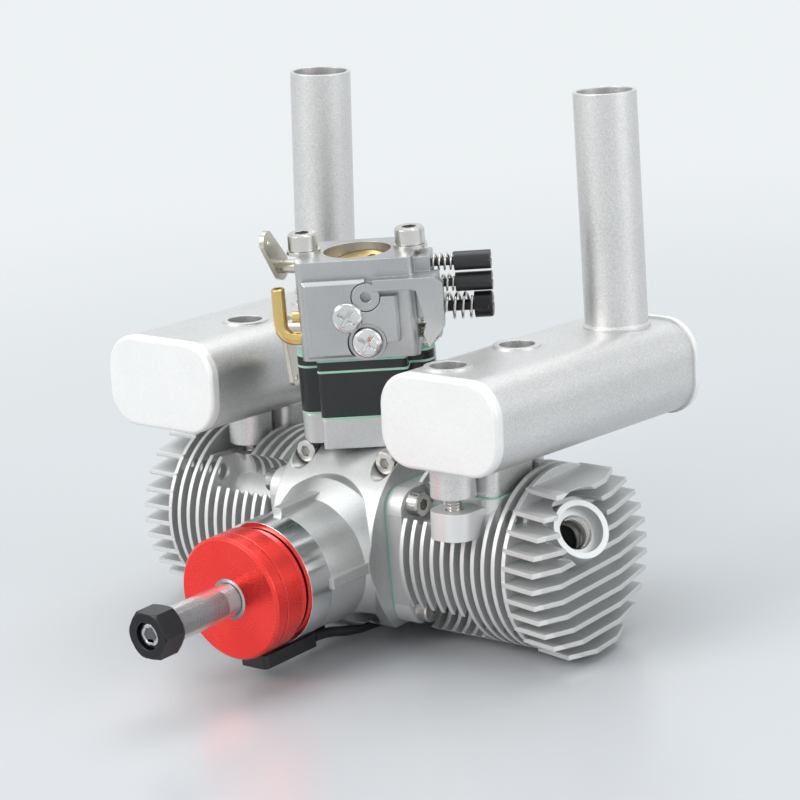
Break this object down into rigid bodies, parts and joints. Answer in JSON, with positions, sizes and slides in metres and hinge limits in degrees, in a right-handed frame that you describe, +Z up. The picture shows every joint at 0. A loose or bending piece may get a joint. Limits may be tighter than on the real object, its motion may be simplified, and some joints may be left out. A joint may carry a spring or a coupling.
{
  "type": "flat aircraft engine",
  "caption": "Flat twin two-stroke model aircraft engine: finned opposed cylinders, box mufflers with upright pipes, top carburettor, red propeller hub on the crankshaft.",
  "frame": {"origin": "centre of the rear mounting bolt pattern, on the crank axis, at the mounting face", "axes": "-Y towards the propeller along the crank axis, +X towards the right cylinder seen from behind the propeller, +Z up through the carburettor"},
  "size_m": [0.1638, 0.1633, 0.1516],
  "materials": {
    "cast_aluminium": "matte",
    "polished_aluminium": "polished",
    "machined_aluminium": "satin",
    "blasted_aluminium": "satin",
    "bearing_steel": "polished",
    "alloy_steel": "satin",
    "stainless_steel": "satin",
    "plated_steel": "satin",
    "spring_steel": "satin",
    "black_oxide_steel": "satin",
    "cast_iron": "satin",
    "magnet": "polished",
    "red_anodised_aluminium": "satin",
    "brass": "satin",
    "zinc_alloy": "matte",
    "phenolic": "gloss",
    "black_plastic": "satin",
    "clear_nylon": "gloss",
    "rubber": "matte",
    "gasket_sheet": "matte"
  },
  "bodies": {
    "engine": {"crankcase": "cast_aluminium", "front_housing": "cast_aluminium", "nose_collar": "polished_aluminium", "main_bearings": "bearing_steel", "oil_seal": "rubber", "case_screws": "stainless_steel", "rear_mount": "machined_aluminium", "cylinder_right": "cast_aluminium", "cylinder_left": "cast_aluminium", "base_gaskets": "gasket_sheet", "cylinder_screws": "stainless_steel", "muffler_body_right": "blasted_aluminium", "muffler_body_left": "blasted_aluminium", "muffler_caps_right": "blasted_aluminium", "muffler_caps_left": "blasted_aluminium", "exhaust_pipe_right": "blasted_aluminium", "exhaust_pipe_left": "blasted_aluminium", "exhaust_header_right": "blasted_aluminium", "exhaust_header_left": "blasted_aluminium", "exhaust_gaskets": "gasket_sheet", "muffler_screws": "stainless_steel", "insulator_block": "phenolic", "carb_spacer": "phenolic", "intake_gaskets": "gasket_sheet", "reed_valve": "phenolic", "carb_body": "zinc_alloy", "pump_cover": "zinc_alloy", "metering_cover": "zinc_alloy", "carb_cover_screws": "stainless_steel", "carb_bolts": "stainless_steel", "carb_washers": "stainless_steel", "brass_fittings": "brass", "throttle_spring": "spring_steel", "adjuster_springs": "spring_steel", "sensor_body": "black_plastic", "sensor_lead": "rubber", "sensor_plug": "black_plastic", "sensor_clips": "spring_steel", "small_screws": "stainless_steel"},
    "crank": {"crankshaft": "alloy_steel", "prop_hub": "red_anodised_aluminium", "hub_magnet": "magnet", "shaft_sleeve": "clear_nylon", "prop_nut": "black_oxide_steel"},
    "piston_assembly_right": {"piston_right": "cast_aluminium", "piston_rings_right": "cast_iron", "wrist_pin_right": "bearing_steel"},
    "piston_assembly_left": {"piston_left": "cast_aluminium", "piston_rings_left": "cast_iron", "wrist_pin_left": "bearing_steel"},
    "rod_right": {"connecting_rod_right": "alloy_steel"},
    "rod_left": {"connecting_rod_left": "alloy_steel"},
    "throttle": {"throttle_shaft": "plated_steel", "throttle_plate": "brass"},
    "choke": {"choke_shaft": "plated_steel", "choke_plate": "brass"},
    "high_speed_needle": {"high_needle": "black_plastic"},
    "low_speed_needle": {"low_needle": "black_plastic"},
    "idle_stop_screw": {"idle_screw": "brass"}
  },
  "joints": [
    {"name": "crank_spin", "type": "hinge", "parent": "engine", "child": "crank", "pos_m": [0, -0.04, 0], "axis": [0, 1, 0], "continuous": true, "deforming": ["connecting_rod_right", "connecting_rod_left"]},
    {"name": "piston_right_slide", "type": "slide", "parent": "engine", "child": "piston_assembly_right", "axis": [-1, 0, 0], "range_m": [0, 0.0248], "deforming": ["connecting_rod_right"]},
    {"name": "piston_left_slide", "type": "slide", "parent": "engine", "child": "piston_assembly_left", "axis": [1, 0, 0], "range_m": [0, 0.0248], "deforming": ["connecting_rod_left"]},
    {"name": "rod_right_swing", "type": "hinge", "parent": "piston_assembly_right", "child": "rod_right", "pos_m": [0.054, -0.045, 0], "axis": [0, 1, 0], "range_deg": [-17.3, 17.3], "deforming": ["connecting_rod_right"]},
    {"name": "rod_left_swing", "type": "hinge", "parent": "piston_assembly_left", "child": "rod_left", "pos_m": [-0.054, -0.035, 0], "axis": [0, 1, 0], "range_deg": [-17.3, 17.3], "deforming": ["connecting_rod_left"]},
    {"name": "throttle_turn", "type": "hinge", "parent": "engine", "child": "throttle", "pos_m": [0, -0.04324, 0.0615], "axis": [-0.9613, -0.2756, 0], "range_deg": [0, 80], "stiffness_Nm_per_rad": 0.008, "springref_deg": -34.38},
    {"name": "choke_turn", "type": "hinge", "parent": "engine", "child": "choke", "pos_m": [0, -0.04324, 0.0795], "axis": [0.9613, 0.2756, 0], "range_deg": [-15, 70]},
    {"name": "high_needle_turn", "type": "hinge", "parent": "engine", "child": "high_speed_needle", "pos_m": [0.02904, -0.02727, 0.0806], "axis": [0.829, 0.5592, 0], "range_deg": [-540, 360]},
    {"name": "low_needle_turn", "type": "hinge", "parent": "engine", "child": "low_speed_needle", "pos_m": [0.02904, -0.02727, 0.0744], "axis": [0.829, 0.5592, 0], "range_deg": [-540, 360]},
    {"name": "idle_screw_turn", "type": "hinge", "parent": "engine", "child": "idle_stop_screw", "pos_m": [0.02904, -0.02727, 0.0675], "axis": [0.829, 0.5592, 0], "range_deg": [-720, 720]}
  ],
  "couplings": [
    {"joint": "piston_left_slide", "follows": "piston_right_slide", "ratio": 1}
  ]
}
